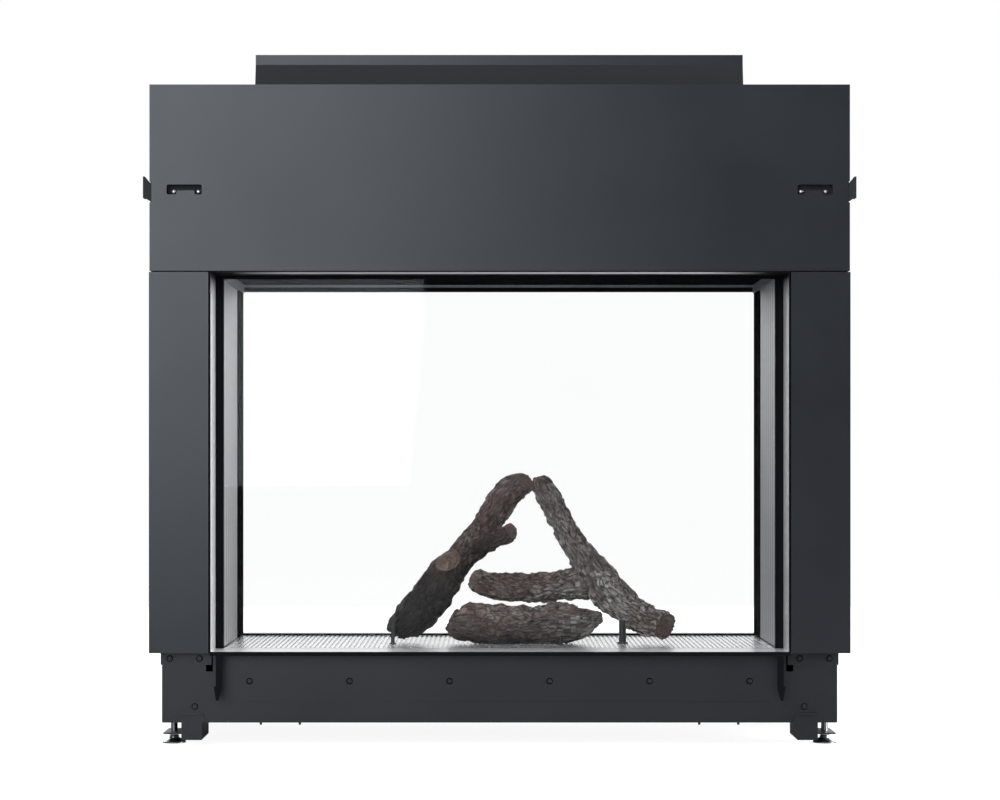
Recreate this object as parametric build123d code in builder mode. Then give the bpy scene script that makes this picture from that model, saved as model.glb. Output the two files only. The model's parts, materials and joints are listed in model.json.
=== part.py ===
"""Double-sided gas fireplace: a see-through fire chamber in a steel casing on levelling feet.

Millimetres, +Z up. X is the width, the front faces -Y and the rear repeats the front.
The origin is on the floor, under the middle of the casing.
"""

import os

from build123d import *

os.makedirs("parts", exist_ok=True)

# Sheet metal and general sizes
SHEET = 2.0
FACE_Y = 250.0
PANEL_HALF_WIDTH = 614.0
UPPER_HALF_WIDTH = 613.0
CASING_X = 610.0
PANEL_BOTTOM = 167.0
SEAM_Z = 835.5
SEAM_GAP = 2.0
PANEL_TOP = 1162.5

# Opening, glass plane and fire chamber
RETURN_X = 506.0
PANEL_INNER_X = 510.0
TRIM_TOP = 834.0
GLASS_FRAME_Y = 170.0
GLASS_FRAME_X = 491.5
GLASS_FRAME_TOP = 828.0
GLASS_FRAME_DEPTH = 3.0
GASKET_DEPTH = 2.0
GLASS_Y = 165.0
GLASS_THICK = 4.0
GLASS_HALF_WIDTH = 502.0
GLASS_TOP = 836.0
CHAMBER_Y = 159.0
DECK_TOP = 169.5
DECK_THICK = 6.0
LINER_CREST_X = 491.0
LINER_BACK_X = 498.0
LINER_END_Y = 77.0
CLIP_BOTTOM = 825.0
CEILING_Z = 841.0
SHELL_X = 503.0
SHELL_TOP = 850.0

# Hood and flue
HOOD_HALF_WIDTH = 442.5
HOOD_HALF_DEPTH = 85.0
HOOD_STEP_Z = 1223.5
HOOD_TOP = 1241.5
FLUE_OUTER_R = 62.5
FLUE_INNER_R = 40.0
FLUE_WALL = 1.5
FLUE_TOP = 1226.0

# Base box, legs and feet
BASE_HALF_WIDTH = 595.0
BASE_Y = 220.0
BASE_BOTTOM = 42.5
BASE_TOP = 165.0
FASCIA_HALF_WIDTH = 493.0
FASCIA_BOTTOM = 81.5
FASCIA_TOP = 162.0
FASCIA_SCREW_Z = 115.8
FASCIA_SCREW_PITCH = 176.2
FOOT_X = 582.0
FOOT_Y = 150.0
STUD_R = 6.0
STUD_TOP = 40.0
THREAD_CLEARANCE = 0.05
FOOT_PLATE_Z = 19.0
FOOT_PLATE_THICK = 2.5

# Ribs of the floor deck and flutes of the side liners
RIB_PITCH = 8.8
RIB_DEPTH = 1.5
RIB_COUNT = 110
FLUTE_PITCH = 33.0
FLUTE_DEPTH = 3.0
FLUTE_COUNT = 7

SIDES = ((-1, "left"), (1, "right"))
FACES = ((-1, "front"), (1, "rear"))


def save(piece, label):
    """Name a finished piece and write it."""
    piece.part.label = label
    export_step(piece.part, f"parts/{label}.step")


def block(x_span, y_span, z_span, mode=Mode.ADD):
    """Add or cut a block between two corners inside the current part."""
    spans = [sorted(span) for span in (x_span, y_span, z_span)]
    centre = [(low + high) / 2 for low, high in spans]
    size = [high - low for low, high in spans]
    with Locations(tuple(centre)):
        Box(*size, mode=mode)


def rod(start, radius, length, turn=(0, 0, 0), mode=Mode.ADD):
    """Add or cut a cylinder that starts at a point; turn leans it away from +Z."""
    with Locations(Location(start, turn)):
        Cylinder(radius, length, align=(Align.CENTER, Align.CENTER, Align.MIN), mode=mode)


# Turns that point a rod along each axis
ALONG_X = (0, 90, 0)
TO_FRONT = (90, 0, 0)
TO_REAR = (-90, 0, 0)


# Upper panels
SLOT_OUTER_X = 583.0
SLOT_INNER_X = 521.5
SLOT_TOP = 987.5
SLOT_BOTTOM = 977.0
SLOT_LOBE_BOTTOM = 970.0
SLOT_OUTER_LOBE = 17.0
SLOT_INNER_LOBE = 12.5
SLOT_CORNER = 4.0
NOTCH_X = 609.5
NOTCH_Z = (956.0, 993.5)


def upper_panel(face, name):
    """Large plate above the opening, folded back at its top and both sides."""
    outer = face * FACE_Y
    inner = face * (FACE_Y - SHEET)
    with BuildPart() as panel:
        block((-UPPER_HALF_WIDTH, UPPER_HALF_WIDTH), (outer, inner), (SEAM_Z + SEAM_GAP / 2, PANEL_TOP))
        block(
            (-UPPER_HALF_WIDTH, UPPER_HALF_WIDTH),
            (inner, face * (FACE_Y - 22)),
            (PANEL_TOP - SHEET, PANEL_TOP),
        )
        for side, _ in SIDES:
            block(
                (side * (UPPER_HALF_WIDTH - SHEET), side * UPPER_HALF_WIDTH),
                (inner, face * (FACE_Y - 26)),
                (SEAM_Z + SEAM_GAP / 2, PANEL_TOP),
            )
        with BuildSketch(Plane.XZ.offset(-max(outer, inner))) as slots:
            for side, _ in SIDES:
                slot_middle = side * (SLOT_OUTER_X + SLOT_INNER_X) / 2
                with Locations((slot_middle, (SLOT_TOP + SLOT_BOTTOM) / 2)):
                    Rectangle(SLOT_OUTER_X - SLOT_INNER_X, SLOT_TOP - SLOT_BOTTOM)
                outer_lobe = side * (SLOT_OUTER_X - SLOT_OUTER_LOBE / 2)
                inner_lobe = side * (SLOT_INNER_X + SLOT_INNER_LOBE / 2)
                lobe_middle = (SLOT_TOP + SLOT_LOBE_BOTTOM) / 2
                with Locations((outer_lobe, lobe_middle)):
                    Rectangle(SLOT_OUTER_LOBE, SLOT_TOP - SLOT_LOBE_BOTTOM)
                with Locations((inner_lobe, lobe_middle)):
                    Rectangle(SLOT_INNER_LOBE, SLOT_TOP - SLOT_LOBE_BOTTOM)
            fillet(slots.vertices(), SLOT_CORNER * 0.75)
        extrude(amount=SHEET, mode=Mode.SUBTRACT)
        for side, _ in SIDES:
            block(
                (side * NOTCH_X, side * (UPPER_HALF_WIDTH + 1)),
                (face * (FACE_Y + 1), face * (FACE_Y - 12)),
                NOTCH_Z,
                mode=Mode.SUBTRACT,
            )
    save(panel, f"upper_panel_{name}")


def side_panel(face, face_name, side, side_name):
    """Folded pillar panel beside the opening."""
    outer = face * FACE_Y
    inner = face * (FACE_Y - SHEET)
    top = SEAM_Z - SEAM_GAP / 2
    with BuildPart() as panel:
        block((side * PANEL_INNER_X, side * PANEL_HALF_WIDTH), (outer, inner), (PANEL_BOTTOM, top))
        block(
            (side * (PANEL_HALF_WIDTH - SHEET), side * PANEL_HALF_WIDTH),
            (inner, face * (FACE_Y - 26)),
            (PANEL_BOTTOM, top),
        )
        block(
            (side * PANEL_INNER_X, side * (PANEL_INNER_X + SHEET)),
            (inner, face * (FACE_Y - 16)),
            (PANEL_BOTTOM, top),
        )
        block(
            (side * PANEL_INNER_X, side * PANEL_HALF_WIDTH),
            (inner, face * (FACE_Y - 16)),
            (PANEL_BOTTOM, PANEL_BOTTOM + SHEET),
        )
    save(panel, f"side_panel_{face_name}_{side_name}")


def side_casing(side, name):
    """Outer side sheet between the two faces, folded inwards top and bottom."""
    casing_y = FACE_Y - 4
    casing_top = PANEL_TOP - 2 * SHEET
    with BuildPart() as casing:
        block(
            (side * (CASING_X - SHEET), side * CASING_X),
            (-casing_y, casing_y),
            (PANEL_BOTTOM + SHEET, casing_top),
        )
        block(
            (side * (CASING_X - 24), side * (CASING_X - SHEET)),
            (-casing_y, casing_y),
            (casing_top - SHEET, casing_top),
        )
        block(
            (side * (CASING_X - 100), side * (CASING_X - SHEET)),
            (-FACE_Y + 16, FACE_Y - 16),
            (PANEL_BOTTOM + SHEET, PANEL_BOTTOM + 2 * SHEET),
        )
    save(casing, f"side_casing_{name}")


def top_plate():
    """Lid of the casing with the long convection opening under the hood."""
    half_depth = FACE_Y - 4
    with BuildPart() as plate:
        with BuildSketch(Plane.XY.offset(PANEL_TOP - 2 * SHEET)):
            Rectangle(2 * CASING_X, 2 * half_depth)
            Rectangle(2 * (HOOD_HALF_WIDTH - 4), 2 * (HOOD_HALF_DEPTH - 4), mode=Mode.SUBTRACT)
        extrude(amount=SHEET)
    save(plate, "top_plate")


# Hood
HOOD_FOOT_Z = PANEL_TOP - SHEET
HOOD_FOOT_FLARE = 1.5
HOOD_FLANGE = 14.0
RIM_FOLD = 10.0


def hood_skirt():
    """Slightly flared collar around the convection opening, on a flat foot flange."""
    height = HOOD_STEP_Z - HOOD_FOOT_Z
    with BuildPart() as skirt:
        with BuildSketch(Plane.XY.offset(HOOD_FOOT_Z)):
            Rectangle(2 * (HOOD_HALF_WIDTH + HOOD_FOOT_FLARE), 2 * (HOOD_HALF_DEPTH + HOOD_FOOT_FLARE))
        with BuildSketch(Plane.XY.offset(HOOD_STEP_Z)):
            Rectangle(2 * HOOD_HALF_WIDTH, 2 * HOOD_HALF_DEPTH)
        loft()
        with BuildSketch(Plane.XY.offset(HOOD_FOOT_Z)):
            Rectangle(
                2 * (HOOD_HALF_WIDTH + HOOD_FLANGE),
                2 * (HOOD_HALF_DEPTH + HOOD_FLANGE),
            )
        extrude(amount=SHEET)
        with BuildSketch(Plane.XY.offset(HOOD_FOOT_Z)):
            Rectangle(2 * (HOOD_HALF_WIDTH - SHEET), 2 * (HOOD_HALF_DEPTH - SHEET))
        extrude(amount=height, mode=Mode.SUBTRACT)
    save(skirt, "hood_skirt")


def hood_rim():
    """Upright band that closes the hood, folded inwards at its top edge."""
    with BuildPart() as rim:
        with BuildSketch(Plane.XY.offset(HOOD_STEP_Z)):
            Rectangle(2 * HOOD_HALF_WIDTH, 2 * HOOD_HALF_DEPTH)
            Rectangle(2 * (HOOD_HALF_WIDTH - SHEET), 2 * (HOOD_HALF_DEPTH - SHEET), mode=Mode.SUBTRACT)
        extrude(amount=HOOD_TOP - HOOD_STEP_Z)
        with BuildSketch(Plane.XY.offset(HOOD_TOP - SHEET)):
            Rectangle(2 * HOOD_HALF_WIDTH, 2 * HOOD_HALF_DEPTH)
            Rectangle(
                2 * (HOOD_HALF_WIDTH - RIM_FOLD),
                2 * (HOOD_HALF_DEPTH - RIM_FOLD),
                mode=Mode.SUBTRACT,
            )
        extrude(amount=SHEET)
    save(rim, "hood_rim")


# Brackets behind the upper panels
RAIL_Y = 238.0
RAIL_Z = (940.0, 968.0)
PIN_X = (528.0, 571.0)
PIN_Z = 975.5
PIN_R = 3.2
HOOK_X = 625.0
HOOK_LIFT = 8.5


def hanger_rails():
    """Cross rails behind the upper panels, with the stub pins that show in the slots."""
    with BuildPart() as rails:
        for face, _ in FACES:
            block((-CASING_X + SHEET, CASING_X - SHEET), (face * RAIL_Y, face * (RAIL_Y - 3)), RAIL_Z)
            for side, _ in SIDES:
                block(
                    (side * (SLOT_INNER_X - 6), side * (SLOT_OUTER_X + 6)),
                    (face * (RAIL_Y - 3), face * (RAIL_Y - 6)),
                    (RAIL_Z[0], SLOT_TOP + 6),
                )
                block(
                    (side * (PIN_X[0] + 6), side * (PIN_X[1] - 10)),
                    (face * (RAIL_Y - 3), face * RAIL_Y),
                    (RAIL_Z[1], SLOT_BOTTOM + 2.6),
                )
                for pin_x in PIN_X:
                    start = (side * pin_x, face * (RAIL_Y - 3), PIN_Z)
                    rod(start, PIN_R, 8, turn=TO_FRONT if face < 0 else TO_REAR)
    save(rails, "hanger_rails")


def hook_brackets():
    """Four rising hooks that stand out of the casing sides through the panel notches."""
    with BuildPart() as hooks:
        for face, _ in FACES:
            near = face * (FACE_Y - 4)
            for side, _ in SIDES:
                with BuildSketch(Plane.XZ.offset(-max(near, near - face * 3))):
                    with BuildLine():
                        Polyline(
                            (side * CASING_X, NOTCH_Z[0] + 1),
                            (side * (HOOK_X - 3), NOTCH_Z[0] + HOOK_LIFT),
                            (side * (HOOK_X - 3), NOTCH_Z[1] + HOOK_LIFT),
                            (side * CASING_X, NOTCH_Z[1] - 5),
                            close=True,
                        )
                    make_face()
                extrude(amount=3)
                block(
                    (side * (HOOK_X - 3), side * HOOK_X),
                    (near, face * (FACE_Y - 26)),
                    (NOTCH_Z[0] + HOOK_LIFT, NOTCH_Z[1] + HOOK_LIFT),
                )
    save(hooks, "hook_brackets")


# Frame round the opening, its sill and the glass
LUG_X = (486.0, 497.0)
LUG_BOTTOM = 84.0
SILL_EDGE = 7.0
REAR_STOP = 3.8


def trim_frame(face, name):
    """Two side returns and a head return that line the opening back to the glass."""
    y_span = (face * FACE_Y, face * GLASS_FRAME_Y)
    with BuildPart() as frame:
        for side, _ in SIDES:
            block((side * RETURN_X, side * (RETURN_X + SHEET)), y_span, (DECK_TOP, TRIM_TOP + SHEET))
        block((-RETURN_X, RETURN_X), y_span, (TRIM_TOP, TRIM_TOP + SHEET))
    save(frame, f"trim_frame_{name}")


def sill(face, name):
    """Flat sill with a folded front edge and two tapered locating tongues below it."""
    edge_y = face * FACE_Y
    edge_back = face * (FACE_Y - SHEET)
    with BuildPart() as piece:
        block(
            (-RETURN_X - SHEET, RETURN_X + SHEET),
            (edge_y, face * CHAMBER_Y),
            (DECK_TOP - SHEET, DECK_TOP),
        )
        block(
            (-RETURN_X - SHEET, RETURN_X + SHEET),
            (edge_y, edge_back),
            (DECK_TOP - SILL_EDGE, DECK_TOP - SHEET),
        )
        for side, _ in SIDES:
            with BuildSketch(Plane.XZ.offset(-max(edge_y, edge_back))):
                with BuildLine():
                    Polyline(
                        (side * LUG_X[1], DECK_TOP - SILL_EDGE),
                        (side * LUG_X[1], 109),
                        (side * (LUG_X[1] + 3.5), 109),
                        (side * (LUG_X[1] - 0.5), LUG_BOTTOM),
                        (side * (LUG_X[0] + 6), LUG_BOTTOM),
                        (side * LUG_X[0], 105),
                        (side * LUG_X[0], DECK_TOP - SILL_EDGE),
                        close=True,
                    )
                make_face()
            extrude(amount=SHEET)
        if face > 0:
            block(
                (-GLASS_FRAME_X, GLASS_FRAME_X),
                (GLASS_Y + 0.5, GLASS_FRAME_Y),
                (DECK_TOP, DECK_TOP + REAR_STOP),
            )
    save(piece, f"sill_{name}")


def glass_frame(face, name):
    """Black stepped border that holds the pane's two sides and its head."""
    y_span = (face * GLASS_FRAME_Y, face * (GLASS_FRAME_Y - GLASS_FRAME_DEPTH))
    with BuildPart() as frame:
        for side, _ in SIDES:
            block((side * GLASS_FRAME_X, side * RETURN_X), y_span, (DECK_TOP, TRIM_TOP + SHEET))
        block((-GLASS_FRAME_X, GLASS_FRAME_X), y_span, (GLASS_FRAME_TOP, TRIM_TOP + SHEET))
    save(frame, f"glass_frame_{name}")


def gasket(face, name):
    """Flat tape seal between the border and the pane."""
    y_span = (face * (GLASS_Y + GASKET_DEPTH), face * GLASS_Y)
    with BuildPart() as seal:
        for side, _ in SIDES:
            block((side * (GLASS_FRAME_X + 2), side * GLASS_HALF_WIDTH), y_span, (DECK_TOP, GLASS_TOP))
        block(
            (-GLASS_FRAME_X - 2, GLASS_FRAME_X + 2),
            y_span,
            (GLASS_FRAME_TOP + 1, GLASS_TOP),
        )
    save(seal, f"gasket_{name}")


def glass(face, name):
    """Ceramic glass pane that stands on the sill."""
    with BuildPart() as pane:
        block(
            (-GLASS_HALF_WIDTH, GLASS_HALF_WIDTH),
            (face * GLASS_Y, face * (GLASS_Y - GLASS_THICK)),
            (DECK_TOP, GLASS_TOP),
        )
        chamfer(pane.edges().filter_by(Axis.Y), 2.0)
    save(pane, f"glass_{name}")


# Fire chamber
FLAP_X = 300.0
FLAP_HOLE = (120.0, 90.0)
FLAP_SIZE = (136.0, 104.0)
FLAP_HINGE_Y = 58.0
KNUCKLE_R = 4.0
HINGE_PIN_R = 2.0
KNUCKLE_LENGTH = 100.0
HINGE_Z = SHELL_TOP + SHEET + KNUCKLE_R + 0.5


def firebox_shell():
    """Outer chamber sheet: two sides, a head with flue and relief holes, and hinge ears."""
    with BuildPart() as shell:
        for side, _ in SIDES:
            block((side * SHELL_X, side * (SHELL_X + SHEET)), (-CHAMBER_Y, CHAMBER_Y), (DECK_TOP, SHELL_TOP))
            for face, _ in FACES:
                block(
                    (side * LINER_BACK_X, side * (SHELL_X + SHEET)),
                    (face * CHAMBER_Y, face * (CHAMBER_Y + SHEET)),
                    (DECK_TOP, SHELL_TOP),
                )
        for face, _ in FACES:
            block(
                (-LINER_BACK_X, LINER_BACK_X),
                (face * CHAMBER_Y, face * (CHAMBER_Y + SHEET)),
                (GLASS_TOP + 0.5, SHELL_TOP),
            )
        block(
            (-SHELL_X - SHEET, SHELL_X + SHEET),
            (-CHAMBER_Y - SHEET, CHAMBER_Y + SHEET),
            (SHELL_TOP, SHELL_TOP + SHEET),
        )
        rod((0, 0, SHELL_TOP), FLUE_INNER_R - FLUE_WALL, SHEET, mode=Mode.SUBTRACT)
        for side, _ in SIDES:
            hole_x = (side * FLAP_X - FLAP_HOLE[0] / 2, side * FLAP_X + FLAP_HOLE[0] / 2)
            hole_y = (-FLAP_HOLE[1] / 2, FLAP_HOLE[1] / 2)
            block(hole_x, hole_y, (SHELL_TOP, SHELL_TOP + SHEET), mode=Mode.SUBTRACT)
            pin_start = side * FLAP_X - KNUCKLE_LENGTH / 2 - 5
            rod((pin_start, FLAP_HINGE_Y, HINGE_Z), HINGE_PIN_R, KNUCKLE_LENGTH + 10, turn=ALONG_X)
            for end in (-1, 1):
                ear_x = side * FLAP_X + end * (KNUCKLE_LENGTH / 2 + 2.5)
                block(
                    (ear_x - 1.5, ear_x + 1.5),
                    (FLAP_HINGE_Y - 5, FLAP_HINGE_Y + 5),
                    (SHELL_TOP + SHEET, HINGE_Z + 5),
                )
    save(shell, "firebox_shell")


def relief_flap(side, name):
    """Loose lid over a relief hole, turning on a pin along its rear edge."""
    middle = side * FLAP_X
    knuckle_start = middle - KNUCKLE_LENGTH / 2
    lid_bottom = SHELL_TOP + SHEET
    with BuildPart() as flap:
        block(
            (middle - FLAP_SIZE[0] / 2, middle + FLAP_SIZE[0] / 2),
            (FLAP_HINGE_Y - 6 - FLAP_SIZE[1], FLAP_HINGE_Y - 6),
            (lid_bottom, lid_bottom + 1.5),
        )
        block(
            (knuckle_start, knuckle_start + KNUCKLE_LENGTH),
            (FLAP_HINGE_Y - 6, FLAP_HINGE_Y),
            (lid_bottom + 0.6, lid_bottom + 1.5),
        )
        rod((knuckle_start, FLAP_HINGE_Y, HINGE_Z), KNUCKLE_R, KNUCKLE_LENGTH, turn=ALONG_X)
        rod(
            (knuckle_start, FLAP_HINGE_Y, HINGE_Z),
            HINGE_PIN_R + 0.05,
            KNUCKLE_LENGTH,
            turn=ALONG_X,
            mode=Mode.SUBTRACT,
        )
    save(flap, f"relief_flap_{name}")


def ceiling_baffle():
    """Black ceiling plate with a flue slot along each long edge."""
    with BuildPart() as baffle:
        block((-LINER_BACK_X, LINER_BACK_X), (-CHAMBER_Y + 2, CHAMBER_Y - 2), (CEILING_Z, CEILING_Z + SHEET))
        with Locations((0, 0, CEILING_Z)):
            with GridLocations(150, 2 * 118, 6, 2):
                Box(110, 12, 3 * SHEET, mode=Mode.SUBTRACT)
    save(baffle, "ceiling_baffle")


def side_liner(side, name):
    """Upright fluted liner of the chamber's side wall."""
    flat_x = LINER_CREST_X + FLUTE_DEPTH
    middle_y = (LINER_END_Y - CHAMBER_Y) / 2
    with BuildPart() as liner:
        with BuildSketch(Plane.XY.offset(DECK_TOP + 3)):
            with Locations((side * (flat_x + LINER_BACK_X) / 2, middle_y)):
                Rectangle(LINER_BACK_X - flat_x, LINER_END_Y + CHAMBER_Y)
            with Locations((side * flat_x, middle_y)):
                with GridLocations(1, FLUTE_PITCH, 1, FLUTE_COUNT):
                    Ellipse(FLUTE_DEPTH, FLUTE_PITCH * 0.4)
        extrude(amount=CLIP_BOTTOM - DECK_TOP - 3)
    save(liner, f"side_liner_{name}")


def liner_end_strips():
    """Plain black strips between the fluted liners and the rear pane."""
    with BuildPart() as strips:
        for side, _ in SIDES:
            block(
                (side * (LINER_CREST_X - 2), side * LINER_BACK_X),
                (LINER_END_Y, CHAMBER_Y),
                (DECK_TOP + 3, CLIP_BOTTOM),
            )
    save(strips, "liner_end_strips")


def liner_clips():
    """Bars along the head of both side walls, which the liners tuck under."""
    with BuildPart() as clips:
        for side, _ in SIDES:
            block(
                (side * (LINER_CREST_X - 4), side * LINER_BACK_X),
                (-CHAMBER_Y, CHAMBER_Y),
                (CLIP_BOTTOM, CEILING_Z),
            )
    save(clips, "liner_clips")


# Floor deck and burner
PORT_ROWS_Y = (34.0, 58.0)
PORT_COUNT = 26
PORT_R = 1.6
BURNER_HALF_WIDTH = 250.0
BURNER_HALF_DEPTH = 75.0
BURNER_BOTTOM = 130.0
DECK_BOTTOM = DECK_TOP - DECK_THICK


def floor_deck():
    """Ribbed deck plate; burner ports open in the grooves behind the logs."""
    groove_bottom = DECK_TOP - RIB_DEPTH
    with BuildPart() as deck:
        with BuildSketch(Plane.XZ.offset(-CHAMBER_Y)):
            with Locations((0, (DECK_TOP + DECK_BOTTOM) / 2)):
                Rectangle(2 * LINER_BACK_X, DECK_THICK)
            with Locations((0, (DECK_TOP + groove_bottom) / 2)):
                with GridLocations(RIB_PITCH, 1, RIB_COUNT, 1):
                    Trapezoid(RIB_PITCH * 0.62, RIB_DEPTH, 115, rotation=180, mode=Mode.SUBTRACT)
        extrude(amount=2 * CHAMBER_Y)
        for row_y in PORT_ROWS_Y:
            with Locations((0, row_y, DECK_BOTTOM)):
                with GridLocations(2 * RIB_PITCH, 1, PORT_COUNT, 1):
                    Cylinder(PORT_R, 4 * DECK_THICK, mode=Mode.SUBTRACT)
    save(deck, "floor_deck")


def burner_tray():
    """Open tray under the deck that feeds the burner ports."""
    with BuildPart() as tray:
        block(
            (-BURNER_HALF_WIDTH, BURNER_HALF_WIDTH),
            (-BURNER_HALF_DEPTH, BURNER_HALF_DEPTH),
            (BURNER_BOTTOM, DECK_BOTTOM),
        )
        block(
            (-BURNER_HALF_WIDTH + SHEET, BURNER_HALF_WIDTH - SHEET),
            (-BURNER_HALF_DEPTH + SHEET, BURNER_HALF_DEPTH - SHEET),
            (BURNER_BOTTOM + SHEET, DECK_BOTTOM),
            mode=Mode.SUBTRACT,
        )
        rod((SUPPLY_X, VALVE_Y, BURNER_BOTTOM), SUPPLY_R - 1, SHEET, mode=Mode.SUBTRACT)
    save(tray, "burner_tray")


# Gas train in the base
VALVE_X = (150.0, 260.0)
VALVE_Y = -30.0
VALVE_HALF_DEPTH = 32.0
VALVE_TOP = 104.0
SUPPLY_X = 180.0
SUPPLY_R = 7.0
INLET_Z = 78.0
INLET_R = 13.0
INLET_BORE_R = 9.3
INLET_END_X = 612.0
KNOB_X = 205.0
KNOB_Z = 80.0
KNOB_SHAFT_R = 4.0


def gas_valve():
    """Valve block on two feet, with a bore for the knob's shaft and pipe bosses."""
    front_y = VALVE_Y - VALVE_HALF_DEPTH
    with BuildPart() as valve:
        block(VALVE_X, (front_y, VALVE_Y + VALVE_HALF_DEPTH), (56, VALVE_TOP))
        fillet(valve.edges().filter_by(Axis.Z), 6)
        for foot_x in (VALVE_X[0] + 18, VALVE_X[1] - 18):
            block(
                (foot_x - 9, foot_x + 9),
                (front_y - 10, VALVE_Y + VALVE_HALF_DEPTH + 10),
                (BASE_BOTTOM + SHEET, 56),
            )
        rod((KNOB_X, front_y, KNOB_Z), 13, 6, turn=TO_FRONT)
        rod((KNOB_X, front_y + 26, KNOB_Z), KNOB_SHAFT_R + 0.05, 40, turn=TO_FRONT, mode=Mode.SUBTRACT)
        rod((VALVE_X[1] - 4, VALVE_Y, INLET_Z), INLET_R, 16, turn=ALONG_X)
    save(valve, "gas_valve")


def valve_knob():
    """Ribbed control knob with its shaft."""
    face_y = VALVE_Y - VALVE_HALF_DEPTH - 6
    with BuildPart() as knob:
        rod((KNOB_X, face_y + 28, KNOB_Z), KNOB_SHAFT_R, 30, turn=TO_FRONT)
        rod((KNOB_X, face_y - 0.3, KNOB_Z), 19, 20, turn=TO_FRONT)
        chamfer(knob.faces().sort_by(Axis.Y)[0].edges(), 1.5)
        with Locations(Location((KNOB_X, face_y - 20.3, KNOB_Z), TO_FRONT)):
            Box(6, 34, 12)
            with PolarLocations(19, 12):
                Cylinder(1.6, 60, mode=Mode.SUBTRACT)
    save(knob, "valve_knob")


def inlet_pipe():
    """Gas inlet: pipe from the valve to a hexagonal union outside the base."""
    start_x = VALVE_X[1] + 12
    with BuildPart() as pipe:
        rod((start_x, VALVE_Y, INLET_Z), 10.5, INLET_END_X - start_x, turn=ALONG_X)
        with BuildSketch(Plane.YZ.offset(BASE_HALF_WIDTH + 1)):
            with Locations((VALVE_Y, INLET_Z)):
                RegularPolygon(15.5, 6)
        extrude(amount=INLET_END_X - BASE_HALF_WIDTH - 1)
        rod((start_x, VALVE_Y, INLET_Z), 7, INLET_END_X - start_x, turn=ALONG_X, mode=Mode.SUBTRACT)
        rod((INLET_END_X - 16, VALVE_Y, INLET_Z), INLET_BORE_R, 16, turn=ALONG_X, mode=Mode.SUBTRACT)
    save(pipe, "inlet_pipe")


def supply_pipe():
    """Short riser from the valve to the burner tray."""
    with BuildPart() as pipe:
        rod((SUPPLY_X, VALVE_Y, VALVE_TOP), SUPPLY_R, BURNER_BOTTOM - VALVE_TOP)
        rod((SUPPLY_X, VALVE_Y, VALVE_TOP), SUPPLY_R + 5, 8)
        rod((SUPPLY_X, VALVE_Y, VALVE_TOP), SUPPLY_R - 1, BURNER_BOTTOM - VALVE_TOP, mode=Mode.SUBTRACT)
    save(pipe, "supply_pipe")


def pilot():
    """Pilot burner on its bracket, standing on the deck behind the logs."""
    pilot_x, pilot_y = 10.0, 92.0
    with BuildPart() as piece:
        block((pilot_x - 22, pilot_x + 22), (pilot_y - 10, pilot_y + 10), (DECK_TOP, DECK_TOP + SHEET))
        block((pilot_x - 22, pilot_x + 22), (pilot_y + 8, pilot_y + 10), (DECK_TOP + SHEET, DECK_TOP + 24))
        for offset, radius, height in ((-13, 3, 40), (0, 5, 30), (13, 2, 38)):
            rod((pilot_x + offset, pilot_y, DECK_TOP + SHEET), radius, height)
    save(piece, "pilot")


def receiver():
    """Control receiver box with its battery lid, on the base tray."""
    with BuildPart() as box:
        block((-420, -290), (-60, 30), (BASE_BOTTOM + SHEET, BASE_BOTTOM + SHEET + 34))
        fillet(box.edges().filter_by(Axis.Z), 5)
        block((-410, -340), (-50, 20), (BASE_BOTTOM + SHEET + 34, BASE_BOTTOM + SHEET + 37))
        chamfer(box.faces().sort_by(Axis.Z)[-1].edges(), 1)
    save(box, "receiver")


# Base box
WINDOW_X = 470.0
WINDOW_Z = (96.0, 148.0)
CORNER_X = (507.5, 597.0)
CORNER_Z = (144.5, 165.0)
CORNER_HOLE_X = (505.0, 517.5)
CORNER_HOLE_Z = (132.5, 144.5)
BRACKET_X = (525.0, 560.5)
CORNER_SCREW_X = (528.5, 581.0)
CORNER_SCREW_Z = 155.7
LEG_SCREW = (537.0, 71.0)
SCREW_R = 3.9
SCREW_HEAD = 2.2


def base_tray():
    """Bottom and sides of the base box in one folded sheet."""
    depth = BASE_Y - SHEET
    with BuildPart() as tray:
        block((-BASE_HALF_WIDTH, BASE_HALF_WIDTH), (-depth, depth), (BASE_BOTTOM, BASE_BOTTOM + SHEET))
        for side, _ in SIDES:
            block(
                (side * (BASE_HALF_WIDTH - SHEET), side * BASE_HALF_WIDTH),
                (-depth, depth),
                (BASE_BOTTOM + SHEET, BASE_TOP),
            )
        rod((BASE_HALF_WIDTH - SHEET, VALVE_Y, INLET_Z), 10.6, SHEET, turn=ALONG_X, mode=Mode.SUBTRACT)
    save(tray, "base_tray")


def base_face(face, name):
    """Face sheet of the base with the service window behind the fascia."""
    outer = face * BASE_Y
    inner = face * (BASE_Y - SHEET)
    with BuildPart() as sheet:
        block((-BASE_HALF_WIDTH, BASE_HALF_WIDTH), (outer, inner), (BASE_BOTTOM, BASE_TOP))
        fillet(sheet.edges().filter_by(Axis.Y).group_by(Axis.Z)[0], 4)
        block((-WINDOW_X, WINDOW_X), (outer, inner), WINDOW_Z, mode=Mode.SUBTRACT)
        for side, _ in SIDES:
            block(
                (side * CORNER_HOLE_X[0], side * CORNER_HOLE_X[1]),
                (outer, inner),
                CORNER_HOLE_Z,
                mode=Mode.SUBTRACT,
            )
            block(
                (side * CORNER_HOLE_X[0], side * CORNER_X[0]),
                (outer, inner),
                (CORNER_HOLE_Z[1], BASE_TOP),
                mode=Mode.SUBTRACT,
            )
    save(sheet, f"base_{name}")


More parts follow.
